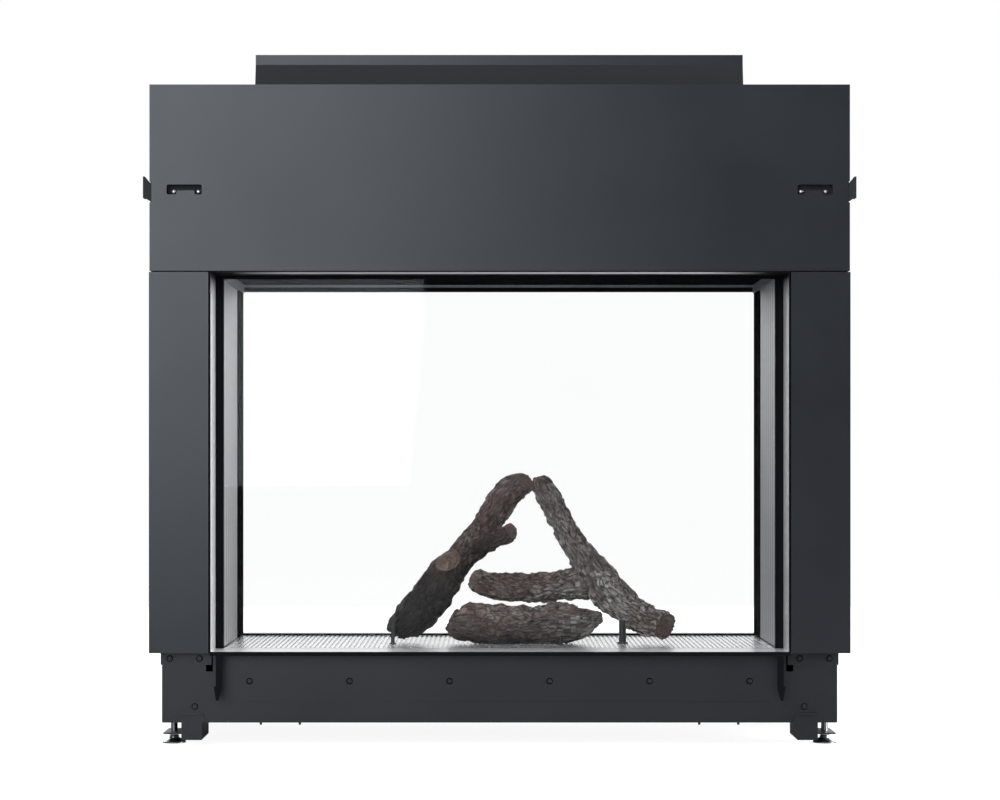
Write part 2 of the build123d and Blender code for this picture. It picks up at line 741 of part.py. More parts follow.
def fascia(face, name):
    """Removable service cover held by a row of cap screws."""
    outer = face * (BASE_Y + SHEET)
    inner = face * BASE_Y
    with BuildPart() as cover:
        block((-FASCIA_HALF_WIDTH, FASCIA_HALF_WIDTH), (outer, inner), (FASCIA_BOTTOM, FASCIA_TOP))
        with Locations(Location((0, face * BASE_Y, FASCIA_TOP), (90, 0, 0))):
            with GridLocations(FASCIA_SCREW_PITCH, 1, 6, 1):
                Box(5, 7, 4 * SHEET, mode=Mode.SUBTRACT)
    save(cover, f"fascia_{name}")


def corner_plates():
    """Narrow plates that close the top corners of the base faces."""
    with BuildPart() as plates:
        for face, _ in FACES:
            for side, _ in SIDES:
                block(
                    (side * CORNER_X[0], side * CORNER_X[1]),
                    (face * BASE_Y, face * (BASE_Y + SHEET)),
                    CORNER_Z,
                )
    save(plates, "corner_plates")


# Legs and levelling feet
LEG_FACE_Z = (12.0, 59.5)
LEG_DEPTH = 110.0
FLOOR_HOLE_R = 4.5
FLOOR_HOLE = (545.0, 176.0)
NUT_Z = 14.6


def leg_brackets():
    """Four bent legs: a face plate, a web under the base and a threaded foot plate."""
    foot_x = (BRACKET_X[0] + 3, BRACKET_X[1] + 36)
    with BuildPart() as legs:
        for face, _ in FACES:
            front = face * (BASE_Y + 3)
            back = face * BASE_Y
            for side, _ in SIDES:
                block((side * BRACKET_X[0], side * BRACKET_X[1]), (front, back), LEG_FACE_Z)
                block(
                    (side * BRACKET_X[0], side * BRACKET_X[1]),
                    (front, front + face * 4),
                    (LEG_FACE_Z[1] - 2.5, LEG_FACE_Z[1]),
                )
                block(
                    (side * BRACKET_X[0], side * foot_x[0]),
                    (back, face * LEG_DEPTH),
                    (LEG_FACE_Z[0], BASE_BOTTOM),
                )
                block(
                    (side * foot_x[0], side * foot_x[1]),
                    (face * (BASE_Y - 30), face * LEG_DEPTH),
                    (FOOT_PLATE_Z, FOOT_PLATE_Z + FOOT_PLATE_THICK),
                )
                block(
                    (side * foot_x[0], side * (foot_x[0] + 30)),
                    (back - face * 30, face * LEG_DEPTH),
                    (BASE_BOTTOM - 2.5, BASE_BOTTOM),
                )
                hole_start = (side * FOOT_X, face * FOOT_Y, FOOT_PLATE_Z)
                rod(hole_start, STUD_R + THREAD_CLEARANCE, FOOT_PLATE_THICK, mode=Mode.SUBTRACT)
                floor_hole = (side * FLOOR_HOLE[0], face * FLOOR_HOLE[1], FOOT_PLATE_Z)
                rod(floor_hole, FLOOR_HOLE_R, FOOT_PLATE_THICK, mode=Mode.SUBTRACT)
                with BuildSketch(Plane.XZ.offset(-max(front, back))):
                    with BuildLine():
                        Polyline(
                            (side * BRACKET_X[0], LEG_FACE_Z[1]),
                            (side * (BRACKET_X[0] - 2.5), LEG_FACE_Z[1]),
                            (side * (BRACKET_X[0] - 6.5), BASE_BOTTOM + 0.5),
                            (side * BRACKET_X[0], BASE_BOTTOM + 0.5),
                            close=True,
                        )
                    make_face()
                extrude(amount=3)
    save(legs, "leg_brackets")


def level_foot(face, face_name, side, side_name):
    """Levelling foot: a domed disc on a threaded stud."""
    with BuildPart() as foot:
        with BuildSketch(Plane.XZ.offset(-face * FOOT_Y)):
            with BuildLine():
                Polyline(
                    (side * FOOT_X, 0),
                    (side * FOOT_X + 20.5, 0),
                    (side * FOOT_X + 20.5, 2.5),
                    (side * FOOT_X + 17, 5),
                    (side * FOOT_X + 9, 9),
                    (side * FOOT_X + 8, 13),
                    (side * FOOT_X + STUD_R, 14),
                    (side * FOOT_X + STUD_R, STUD_TOP - 1),
                    (side * FOOT_X + STUD_R - 1, STUD_TOP),
                    (side * FOOT_X, STUD_TOP),
                    close=True,
                )
            make_face()
        revolve(axis=Axis((side * FOOT_X, face * FOOT_Y, 0), (0, 0, 1)))
    save(foot, f"level_foot_{face_name}_{side_name}")


def foot_nuts():
    """Lock nuts under the four foot plates."""
    with BuildPart() as nuts:
        with BuildSketch(Plane.XY.offset(NUT_Z)):
            with GridLocations(2 * FOOT_X, 2 * FOOT_Y, 2, 2):
                RegularPolygon(9.5, 6, major_radius=False)
                Circle(STUD_R + THREAD_CLEARANCE, mode=Mode.SUBTRACT)
        extrude(amount=FOOT_PLATE_Z - NUT_Z)
    save(nuts, "foot_nuts")


# Flue
def flue_pipe(name, radius, top):
    """Plain round spigot that stands on the firebox head."""
    with BuildPart() as pipe:
        with BuildSketch(Plane.XY.offset(SHELL_TOP + SHEET)):
            Circle(radius)
            Circle(radius - FLUE_WALL, mode=Mode.SUBTRACT)
        extrude(amount=top - SHELL_TOP - SHEET)
    save(pipe, name)


# Logs. Each limb is a list of (x, y, z, radius) along its core.
LOG_SIDES = 10
LEFT_LIMBS = (
    (
        (-196, -22, 186, 22),
        (-180, -22, 206, 36),
        (-142, -18, 250, 40),
        (-90, -12, 302, 34),
        (-42, -4, 366, 28),
        (0, 4, 424, 25),
        (34, 10, 460, 21),
        (49, 12, 474, 12),
    ),
    (
        (-40, -6, 352, 18),
        (6, -26, 366, 17),
        (28, -34, 372, 11),
    ),
)
RIGHT_LIMBS = (
    (
        (79, 22, 474, 11),
        (86, 20, 455, 22),
        (108, 10, 390, 26),
        (134, 0, 320, 30),
        (168, -14, 275, 34),
        (220, -30, 240, 36),
        (276, -46, 214, 32),
        (300, -52, 201, 23),
    ),
    (
        (150, -8, 280, 30),
        (96, -4, 276, 26),
        (30, 0, 276, 25),
        (-26, 6, 281, 21),
        (-50, 8, 284, 13),
    ),
)
BOTTOM_LIMBS = (
    (
        (-92, -46, 214, 18),
        (-76, -48, 205, 32),
        (-30, -50, 205, 36),
        (30, -50, 206, 36),
        (90, -50, 206, 38),
        (140, -50, 206, 36),
        (168, -50, 210, 27),
        (188, -50, 213, 14),
    ),
)
POST_X, POST_Y = 226.0, -48.0
POST_R = 6.5
POST_TOP = 212.0
LEFT_PIN = (-194.0, -66.0)
BOTTOM_PIN = (112.0, -88.0)


def limb_section(points, index):
    """Plane across a limb at one of its points."""
    before = Vector(*points[max(index - 1, 0)][:3])
    after = Vector(*points[min(index + 1, len(points) - 1)][:3])
    return Plane(origin=points[index][:3], z_dir=after - before)


def log(name, limbs, sockets=()):
    """Log lofted along each limb and cut flat where it lies on the deck."""
    with BuildPart() as wood:
        for points in limbs:
            for index, point in enumerate(points):
                with BuildSketch(limb_section(points, index)):
                    RegularPolygon(point[3], LOG_SIDES)
            loft(ruled=True)
        block((-400, 400), (-150, 150), (100, DECK_TOP), mode=Mode.SUBTRACT)
        for start, radius, length in sockets:
            rod(start, radius, length, mode=Mode.SUBTRACT)
    save(wood, name)


def log_supports():
    """Post and pins on the deck that steady the logs."""
    with BuildPart() as supports:
        rod((POST_X, POST_Y, DECK_TOP), POST_R, POST_TOP - DECK_TOP)
        rod((POST_X, POST_Y, DECK_TOP), POST_R + 3.5, 2.5)
        rod((*LEFT_PIN, DECK_TOP), 3.5, 50)
        rod((*LEFT_PIN, DECK_TOP), 6, 2)
        rod((*BOTTOM_PIN, DECK_TOP), 2.5, 17)
        rod((*BOTTOM_PIN, DECK_TOP), 5, 2)
    save(supports, "log_supports")


# Fasteners
def fascia_screws():
    """Cap screws in a row across both fascias."""
    with BuildPart() as screws:
        for face, _ in FACES:
            for index in range(6):
                screw_x = (index - 2.5) * FASCIA_SCREW_PITCH
                start = (screw_x, face * (BASE_Y + SHEET), FASCIA_SCREW_Z)
                turn = TO_FRONT if face < 0 else TO_REAR
                rod(start, SCREW_R, SCREW_HEAD, turn=turn)
        caps = screws.faces().filter_by(Axis.Y).group_by(Axis.Y)
        fillet(caps[0].edges() + caps[-1].edges(), 1.2)
    save(screws, "fascia_screws")


def frame_screws():
    """Screws of the corner plates and the leg brackets."""
    with BuildPart() as screws:
        for face, _ in FACES:
            turn = TO_FRONT if face < 0 else TO_REAR
            for side, _ in SIDES:
                for screw_x in CORNER_SCREW_X:
                    start = (side * screw_x, face * (BASE_Y + SHEET), CORNER_SCREW_Z)
                    rod(start, SCREW_R, SCREW_HEAD, turn=turn)
                start = (side * LEG_SCREW[0], face * BASE_Y, LEG_SCREW[1])
                rod(start, SCREW_R, SCREW_HEAD, turn=turn)
    save(screws, "frame_screws")


TRAY_SCREW_X = (353.0, 422.0)
TRAY_SCREW_LENGTH = 5.0


def tray_screws():
    """Screw tips that show under the base tray."""
    with BuildPart() as tips:
        for face, _ in FACES:
            for side, _ in SIDES:
                for tip_x in TRAY_SCREW_X:
                    tip = (side * tip_x, face * (BASE_Y - 14), BASE_BOTTOM - TRAY_SCREW_LENGTH)
                    rod(tip, 2.2, TRAY_SCREW_LENGTH)
                    rod(tip, 1.2, 1.5, mode=Mode.SUBTRACT)
    save(tips, "tray_screws")


def build_all():
    """Make every piece."""
    for face, face_name in FACES:
        upper_panel(face, face_name)
        trim_frame(face, face_name)
        sill(face, face_name)
        glass_frame(face, face_name)
        gasket(face, face_name)
        glass(face, face_name)
        base_face(face, face_name)
        fascia(face, face_name)
        for side, side_name in SIDES:
            side_panel(face, face_name, side, side_name)
            level_foot(face, face_name, side, side_name)
    for side, side_name in SIDES:
        side_casing(side, side_name)
        side_liner(side, side_name)
        relief_flap(side, side_name)
    top_plate()
    hood_skirt()
    hood_rim()
    hanger_rails()
    hook_brackets()
    firebox_shell()
    ceiling_baffle()
    liner_end_strips()
    liner_clips()
    floor_deck()
    burner_tray()
    gas_valve()
    valve_knob()
    inlet_pipe()
    supply_pipe()
    pilot()
    receiver()
    base_tray()
    corner_plates()
    leg_brackets()
    foot_nuts()
    flue_pipe("flue_outer", FLUE_OUTER_R, FLUE_TOP)
    flue_pipe("flue_inner", FLUE_INNER_R, FLUE_TOP + 4)
    log("log_left", LEFT_LIMBS)
    post_socket = ((POST_X, POST_Y, DECK_TOP), POST_R + 0.1, POST_TOP - DECK_TOP + 1)
    log("log_right", RIGHT_LIMBS, sockets=(post_socket,))
    log("log_bottom", BOTTOM_LIMBS)
    log_supports()
    fascia_screws()
    frame_screws()
    tray_screws()


build_all()
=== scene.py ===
"""See-through gas fireplace: finishes, sculpted logs and a plain studio.

Lengths are in metres. The front faces -Y, and the floor is at Z = 0.
"""
import json
import math

import bmesh
import bpy
from mathutils import Matrix, Vector, noise


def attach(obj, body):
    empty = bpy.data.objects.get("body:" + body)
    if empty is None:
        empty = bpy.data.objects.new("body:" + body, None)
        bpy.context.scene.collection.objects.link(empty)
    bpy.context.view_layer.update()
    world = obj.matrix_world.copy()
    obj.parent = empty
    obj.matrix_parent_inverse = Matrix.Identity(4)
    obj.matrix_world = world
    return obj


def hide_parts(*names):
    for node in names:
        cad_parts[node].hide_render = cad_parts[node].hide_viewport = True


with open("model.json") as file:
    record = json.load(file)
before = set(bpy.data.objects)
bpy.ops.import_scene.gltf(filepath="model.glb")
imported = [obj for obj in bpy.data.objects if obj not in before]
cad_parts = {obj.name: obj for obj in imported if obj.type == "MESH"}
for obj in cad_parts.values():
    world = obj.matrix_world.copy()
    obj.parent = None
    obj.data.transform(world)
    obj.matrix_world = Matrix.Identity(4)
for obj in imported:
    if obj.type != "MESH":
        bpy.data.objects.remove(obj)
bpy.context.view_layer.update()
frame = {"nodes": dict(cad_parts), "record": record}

MM = 0.001


# Camera and lights
CAMERA_PLACE = (-0.0222, -4.55, 0.500)
CAMERA_LENS = 88.46
CAMERA_SHIFT = (0.013, 0.063)


def camera():
    """Camera level with the middle of the opening, square to the front."""
    lens = bpy.data.cameras.new("camera")
    lens.lens = CAMERA_LENS
    lens.shift_x, lens.shift_y = CAMERA_SHIFT
    viewpoint = bpy.data.objects.new("camera", lens)
    viewpoint.location = CAMERA_PLACE
    viewpoint.rotation_euler = (math.radians(90), 0, 0)
    bpy.context.scene.collection.objects.link(viewpoint)
    bpy.context.scene.camera = viewpoint


def soft_light(name, place, target, size, power, colour):
    """Rectangular soft box at a place, turned to a target."""
    light = bpy.data.lights.new(name, "AREA")
    light.shape = "RECTANGLE"
    light.size, light.size_y = size
    light.energy = power
    light.color = colour
    lamp = bpy.data.objects.new(name, light)
    lamp.location = place
    aim = Vector(target) - Vector(place)
    lamp.rotation_euler = aim.to_track_quat("-Z", "Y").to_euler()
    bpy.context.scene.collection.objects.link(lamp)


# Node wiring
def plug(tree, socket, value):
    """Link an output to a socket, or set the socket's own value."""
    if isinstance(value, bpy.types.NodeSocket):
        tree.links.new(value, socket)
    else:
        socket.default_value = value


def add(tree, kind, inputs=None, **settings):
    """New node with its settings, its inputs set or linked."""
    node = tree.nodes.new(kind)
    for name, value in settings.items():
        setattr(node, name, value)
    for key, value in (inputs or {}).items():
        plug(tree, node.inputs[key], value)
    return node


def compute(tree, operation, *values, clamp=False):
    """Result of one arithmetic node."""
    inputs = dict(enumerate(values))
    return add(tree, "ShaderNodeMath", inputs, operation=operation, use_clamp=clamp).outputs[0]


def remap(tree, value, span, result=(0.0, 1.0), curve="LINEAR"):
    """Value stretched from one span to another, held at both ends."""
    inputs = {
        "Value": value,
        "From Min": span[0],
        "From Max": span[1],
        "To Min": result[0],
        "To Max": result[1],
    }
    return add(tree, "ShaderNodeMapRange", inputs, interpolation_type=curve).outputs["Result"]


def mix_colour(tree, factor, first, second):
    """Colour between two colours."""
    inputs = {0: factor, 6: first, 7: second}
    return add(tree, "ShaderNodeMix", inputs, data_type="RGBA").outputs[2]


def grain_noise(tree, vector, scale, detail=3.0, roughness=0.5):
    """Noise value over a vector."""
    inputs = {"Vector": vector, "Scale": scale, "Detail": detail, "Roughness": roughness}
    return add(tree, "ShaderNodeTexNoise", inputs).outputs["Fac"]


def stretch(tree, vector, scale):
    """Vector scaled along each axis."""
    inputs = {0: vector, 1: scale}
    return add(tree, "ShaderNodeVectorMath", inputs, operation="MULTIPLY").outputs[0]


def object_place(tree):
    """Object coordinates."""
    return add(tree, "ShaderNodeTexCoord").outputs["Object"]


def axes_of(tree, vector):
    """The three values of a vector."""
    return add(tree, "ShaderNodeSeparateXYZ", {0: vector}).outputs


def bumped(tree, height, strength, distance):
    """Surface normal tilted by a height."""
    inputs = {"Strength": strength, "Distance": distance, "Height": height}
    return add(tree, "ShaderNodeBump", inputs).outputs[0]


def shaded(colour, factor=1.0):
    """Colour made darker or lighter, with its fourth value."""
    return (*(channel * factor for channel in colour), 1.0)


# Shared effects
WEAR_PATCHES = 70.0
DUST_SPECKS = 110.0
SHEET_CLOUDS = 9.0


def new_group(name, inputs, outputs):
    """Empty shader group with named inputs and outputs."""
    group = bpy.data.node_groups.new(name, "ShaderNodeTree")
    for label, default in inputs:
        kind = "NodeSocketVector" if default is None else "NodeSocketFloat"
        socket = group.interface.new_socket(label, in_out="INPUT", socket_type=kind)
        if default is not None:
            socket.default_value = default
    for label in outputs:
        group.interface.new_socket(label, in_out="OUTPUT", socket_type="NodeSocketFloat")
    return group, group.nodes.new("NodeGroupInput").outputs, group.nodes.new("NodeGroupOutput").inputs


def edge_wear_and_highlight_group():
    """Worn edges, and painted highlights where the edge colour is light: where the rounded normal leaves
    the face, broken up by noise.
    """
    inputs = (("Radius", 0.0012), ("Amount", 0.6))
    group, given, made = new_group("edge_wear_and_highlight", inputs, ("Mask",))
    rounded = add(group, "ShaderNodeBevel", {"Radius": given["Radius"]}, samples=4)
    face = add(group, "ShaderNodeNewGeometry").outputs["Normal"]
    dot = {0: rounded.outputs[0], 1: face}
    flatness = add(group, "ShaderNodeVectorMath", dot, operation="DOT_PRODUCT").outputs["Value"]
    edge = remap(group, flatness, (0.99, 0.86))
    patches = grain_noise(group, object_place(group), WEAR_PATCHES)
    broken = remap(group, patches, (0.42, 0.6), (0.25, 1.0))
    mask = compute(group, "MULTIPLY", edge, broken)
    plug(group, made["Mask"], compute(group, "MULTIPLY", mask, given["Amount"], clamp=True))
    return group


def paint_grain_group():
    """Fine orange peel of a baked coating and its slow change of tone."""
    inputs = (("Fine", 520.0), ("Broad", 4.0))
    group, given, made = new_group("paint_grain", inputs, ("Height", "Tone"))
    place = object_place(group)
    peel = grain_noise(group, place, given["Fine"], detail=2.0)
    broad = grain_noise(group, place, given["Broad"], detail=4.0, roughness=0.6)
    plug(group, made["Height"], peel)
    plug(group, made["Tone"], remap(group, broad, (0.3, 0.7)))
    return group


def rolled_grain_group():
    """Streaks of rolled or brushed sheet along one axis."""
    group, given, made = new_group("rolled_grain", (("Direction", None),), ("Height", "Tone"))
    along = stretch(group, object_place(group), given["Direction"])
    streaks = grain_noise(group, along, 1.0, detail=5.0, roughness=0.65)
    clouds = grain_noise(group, object_place(group), SHEET_CLOUDS)
    plug(group, made["Height"], streaks)
    fine_part = compute(group, "MULTIPLY", streaks, 0.6)
    broad_part = compute(group, "MULTIPLY", clouds, 0.4)
    plug(group, made["Tone"], remap(group, compute(group, "ADD", fine_part, broad_part), (0.35, 0.65)))
    return group


def settled_dust_group():
    """Faint dust on faces that look up."""
    group, given, made = new_group("settled_dust", (("Amount", 0.2),), ("Mask",))
    facing = add(group, "ShaderNodeNewGeometry").outputs["Normal"]
    flat = remap(group, axes_of(group, facing)[2], (0.6, 0.95))
    specks = grain_noise(group, object_place(group), DUST_SPECKS, 6.0, 0.7)
    mask = compute(group, "MULTIPLY", flat, remap(group, specks, (0.4, 0.7)))
    plug(group, made["Mask"], compute(group, "MULTIPLY", mask, given["Amount"], clamp=True))
    return group


def bark_group():
    """Cracked bark along the limb: heights, ridges, patches and pale flecks."""
    group, given, made = new_group("bark", (("Grain", None),), ("Height", "Ridge", "Patch", "Fleck"))
    fibre = stretch(group, given["Grain"], (52.0, 150.0, 0.0))
    warp = grain_noise(group, stretch(group, given["Grain"], (30.0, 60.0, 0.0)), 1.0, 4.0)
    sway = add(group, "ShaderNodeCombineXYZ", {1: compute(group, "MULTIPLY", warp, 3.4)}).outputs[0]
    fibre = add(group, "ShaderNodeVectorMath", {0: fibre, 1: sway}, operation="ADD").outputs[0]
    ridges = grain_noise(group, fibre, 1.6, detail=8.0, roughness=0.68)
    cracks = {"Vector": fibre, "Scale": 0.9}
    cells = add(group, "ShaderNodeTexVoronoi", cracks, feature="DISTANCE_TO_EDGE").outputs["Distance"]
    split = remap(group, cells, (0.0, 0.16), (0.15, 1.0))
    ridge = compute(group, "MULTIPLY", remap(group, ridges, (0.33, 0.62)), split)
    plug(group, made["Ridge"], ridge)
    place = object_place(group)
    fine = grain_noise(group, place, 620.0, detail=5.0, roughness=0.7)
    plug(group, made["Height"], compute(group, "ADD", ridge, compute(group, "MULTIPLY", fine, 0.5)))
    patch = grain_noise(group, place, 26.0, detail=5.0, roughness=0.62)
    plug(group, made["Patch"], remap(group, patch, (0.40, 0.62)))
    fleck = grain_noise(group, place, 260.0, detail=3.0)
    plug(group, made["Fleck"], remap(group, fleck, (0.60, 0.72)))
    return group


EDGE_WEAR_AND_HIGHLIGHT = edge_wear_and_highlight_group()
PAINT_GRAIN = paint_grain_group()
ROLLED_GRAIN = rolled_grain_group()
SETTLED_DUST = settled_dust_group()
BARK = bark_group()


def use_group(tree, group, **values):
    """Place a shared effect with its own values, and return its outputs."""
    node = add(tree, "ShaderNodeGroup", node_tree=group)
    for label, value in values.items():
        plug(tree, node.inputs[label], value)
    return node.outputs


def new_material(name, **constants):
    """Material with its shader, whose constants are set on its own sockets."""
    material = bpy.data.materials.new(name)
    material.use_nodes = True
    tree = material.node_tree
    shader = tree.nodes["Principled BSDF"]
    for label, value in constants.items():
        shader.inputs[label.replace("_", " ")].default_value = value
    return material, tree, shader.inputs


# Finishes
# Near-black painted shade for the bottoms of grooves
GROOVE_SHADE_COLOUR = (0.012, 0.012, 0.013, 1)
DUST_COLOUR = (0.16, 0.155, 0.15, 1)
COATING_VARIATION = 0.10


def distance_along(tree, axis):
    """Distance of a surface point from the middle along one axis."""
    return compute(tree, "ABSOLUTE", axes_of(tree, object_place(tree))[axis])


def groove_shaded(tree, colour, groove_shade):
    """Colour darkened deep in grooves, a painted shade; the last argument gives an axis, two places on it
    and an amount.
    """
    if not groove_shade:
        return colour
    axis, start, end, amount = groove_shade
    depth = remap(tree, distance_along(tree, axis), (start, end), (0.0, amount))
    return mix_colour(tree, depth, colour, GROOVE_SHADE_COLOUR)


def coated_steel(name, colour, rough, worn_and_highlit, dust=0.3, metallic=0.0, gloss=0.5, groove_shade=None):
    """Baked coating on sheet steel: orange peel, slow tone, worn edges, a little dust; a light edge colour
    paints a highlight on the edges.
    """
    material, tree, shader = new_material(name, Metallic=metallic, Specular_IOR_Level=gloss)
    grain = use_group(tree, PAINT_GRAIN)
    wear_and_highlight = use_group(tree, EDGE_WEAR_AND_HIGHLIGHT)["Mask"]
    dusty = use_group(tree, SETTLED_DUST, Amount=dust)["Mask"]
    dark, light = (shaded(colour, 1 + change) for change in (-COATING_VARIATION, COATING_VARIATION))
    paint = mix_colour(tree, grain["Tone"], dark, light)
    edged = mix_colour(tree, wear_and_highlight, paint, shaded(worn_and_highlit))
    edged = groove_shaded(tree, edged, groove_shade)
    plug(tree, shader["Base Color"], mix_colour(tree, dusty, edged, DUST_COLOUR))
    base_rough = remap(tree, grain["Tone"], (0.0, 1.0), (rough - 0.03, rough + 0.03))
    dust_rough = compute(tree, "MULTIPLY", dusty, 0.25)
    plug(tree, shader["Roughness"], compute(tree, "ADD", base_rough, dust_rough))
    plug(tree, shader["Normal"], bumped(tree, grain["Height"], 0.06, 0.0004))
    return material


def rolled_steel(name, colour, rough, direction, metallic=1.0, variation=0.18, streak=0.12, groove_shade=None):
    """Bare or plated sheet with rolling streaks along an axis."""
    material, tree, shader = new_material(name, Metallic=metallic)
    grain = use_group(tree, ROLLED_GRAIN, Direction=direction)
    wear_and_highlight = use_group(tree, EDGE_WEAR_AND_HIGHLIGHT, Radius=0.0008, Amount=0.5)["Mask"]
    sheet = mix_colour(tree, grain["Tone"], shaded(colour, 1 - variation), shaded(colour, 1 + variation))
    edged = mix_colour(tree, wear_and_highlight, sheet, shaded(colour, 1.35))
    plug(tree, shader["Base Color"], groove_shaded(tree, edged, groove_shade))
    polish = (rough - variation / 3, rough + variation / 3)
    plug(tree, shader["Roughness"], remap(tree, grain["Tone"], (0.0, 1.0), polish))
    plug(tree, shader["Normal"], bumped(tree, grain["Height"], streak, 0.0003))
    return material


# Where the trim changes from its pale painted reflection to black painted shade, in metres from the middle
# or the floor
HEAD_SHADE_Y = (0.212, 0.202)
HEAD_CORNER_X = (0.36, 0.47)
SIDE_SHADE_Z = (0.785, 0.828)
TONGUE_Z = (0.164, 0.162)
FACES_ALONG = (0.6, 0.8)
FACES_DOWN = (-0.6, -0.8)
TRIM_SHADE_BLACK = (0.006, 0.006, 0.007, 1)


def satin_trim():
    """Satin steel, pale as a partly painted reflection; black painted shade on its outward edges, deep in
    its head, at its top corners, up its sides and on the tongues.
    """
    material, tree, shader = new_material("satin_trim")
    grain = use_group(tree, ROLLED_GRAIN, Direction=ALONG_X)
    normal = axes_of(tree, add(tree, "ShaderNodeNewGeometry").outputs["Normal"])
    outward = remap(tree, compute(tree, "ABSOLUTE", normal[1]), FACES_ALONG)
    sideways = remap(tree, compute(tree, "ABSOLUTE", normal[0]), FACES_ALONG)
    under = remap(tree, normal[2], FACES_DOWN)
    height = axes_of(tree, object_place(tree))[2]
    deep = remap(tree, distance_along(tree, 1), HEAD_SHADE_Y)
    corner = remap(tree, distance_along(tree, 0), HEAD_CORNER_X)
    # Painted shade: black on undersides deep in the head and at its top corners, on faces turned forward
    # and back, on the upper sides and on the tongues below the sill
    painted_shade = compute(tree, "MULTIPLY", under, compute(tree, "MAXIMUM", deep, corner))
    upper_side = compute(tree, "MULTIPLY", sideways, remap(tree, height, SIDE_SHADE_Z))
    for area in (upper_side, outward, remap(tree, height, TONGUE_Z)):
        painted_shade = compute(tree, "MAXIMUM", painted_shade, area)
    # The pale colour is partly a painted reflection of the bright room in the trim's faces
    painted_reflection = mix_colour(tree, grain["Tone"], (0.75, 0.755, 0.76, 1), (0.78, 0.785, 0.79, 1))
    plug(tree, shader["Base Color"], mix_colour(tree, painted_shade, painted_reflection, TRIM_SHADE_BLACK))
    plug(tree, shader["Metallic"], remap(tree, painted_shade, (0.0, 1.0), (0.5, 0.0)))
    plug(tree, shader["Specular IOR Level"], remap(tree, painted_shade, (0.0, 1.0), (0.5, 0.06)))
    polish = remap(tree, grain["Tone"], (0.0, 1.0), (0.28, 0.30))
    plug(tree, shader["Roughness"], compute(tree, "ADD", polish, compute(tree, "MULTIPLY", painted_shade, 0.35)))
    plug(tree, shader["Normal"], bumped(tree, grain["Height"], 0.01, 0.0001))
    return material


def clear_pane():
    """Heat-proof glass with a faint uneven film; its shadow is nearly clear."""
    material, tree, shader = new_material("clear_pane", IOR=1.16, Transmission_Weight=1.0)
    film = grain_noise(tree, object_place(tree), 5.0, detail=6.0, roughness=0.65)
    plug(tree, shader["Roughness"], remap(tree, film, (0.45, 0.75), (0.0, 0.03)))
    plug(tree, shader["Base Color"], mix_colour(tree, film, (1, 1, 1, 1), (0.985, 0.992, 0.99, 1)))
    shadow = add(tree, "ShaderNodeLightPath").outputs["Is Shadow Ray"]
    plug(tree, shader["Alpha"], compute(tree, "SUBTRACT", 1.0, compute(tree, "MULTIPLY", shadow, 0.92)))
    return material


def braided_gasket():
    """Flat woven seal behind the pane."""
    material, tree, shader = new_material("braided_gasket", Roughness=0.95)
    place = object_place(tree)
    strands = {"Vector": place, "Scale": 140.0, "Distortion": 2.0}
    weave = add(tree, "ShaderNodeTexWave", strands, bands_direction="DIAGONAL").outputs["Fac"]
    fuzz = grain_noise(tree, place, 600.0)
    tone = compute(tree, "MULTIPLY", weave, fuzz)
    woven = mix_colour(tree, tone, (0.02, 0.02, 0.021, 1), (0.075, 0.072, 0.07, 1))
    plug(tree, shader["Base Color"], woven)
    plug(tree, shader["Normal"], bumped(tree, weave, 0.5, 0.0006))
    return material


def moulded_plastic():
    """Dark moulded plastic with a spark-eroded grain."""
    material, tree, shader = new_material("moulded_plastic", IOR=1.46)
    grain = use_group(tree, PAINT_GRAIN, Fine=1400.0, Broad=30.0)
    wear_and_highlight = use_group(tree, EDGE_WEAR_AND_HIGHLIGHT, Radius=0.0006, Amount=0.4)["Mask"]
    body = mix_colour(tree, grain["Tone"], (0.012, 0.012, 0.013, 1), (0.022, 0.022, 0.023, 1))
    plug(tree, shader["Base Color"], mix_colour(tree, wear_and_highlight, body, (0.06, 0.06, 0.06, 1)))
    plug(tree, shader["Roughness"], remap(tree, grain["Tone"], (0.0, 1.0), (0.42, 0.55)))
    plug(tree, shader["Normal"], bumped(tree, grain["Height"], 0.25, 0.0003))
    return material


# Ridges of the bark on the left of the fire, and on its right where they are paler
DARK_RIDGES = ((0.240, 0.138, 0.104, 1), (0.420, 0.310, 0.262, 1))
LIGHT_RIDGES = ((0.440, 0.345, 0.300, 1), (0.760, 0.690, 0.640, 1))
PALE_FROM_X = (-0.03, 0.16)

# Other colours of the logs, each pair from dark to light
FLECKS = (0.84, 0.80, 0.76, 1)
CRACKS = (0.008, 0.0065, 0.006, 1)
LOWER_BARK = ((0.002, 0.002, 0.002, 1), (0.048, 0.036, 0.029, 1))
CUT_WOOD = ((0.110, 0.072, 0.055, 1), (0.340, 0.235, 0.185, 1))


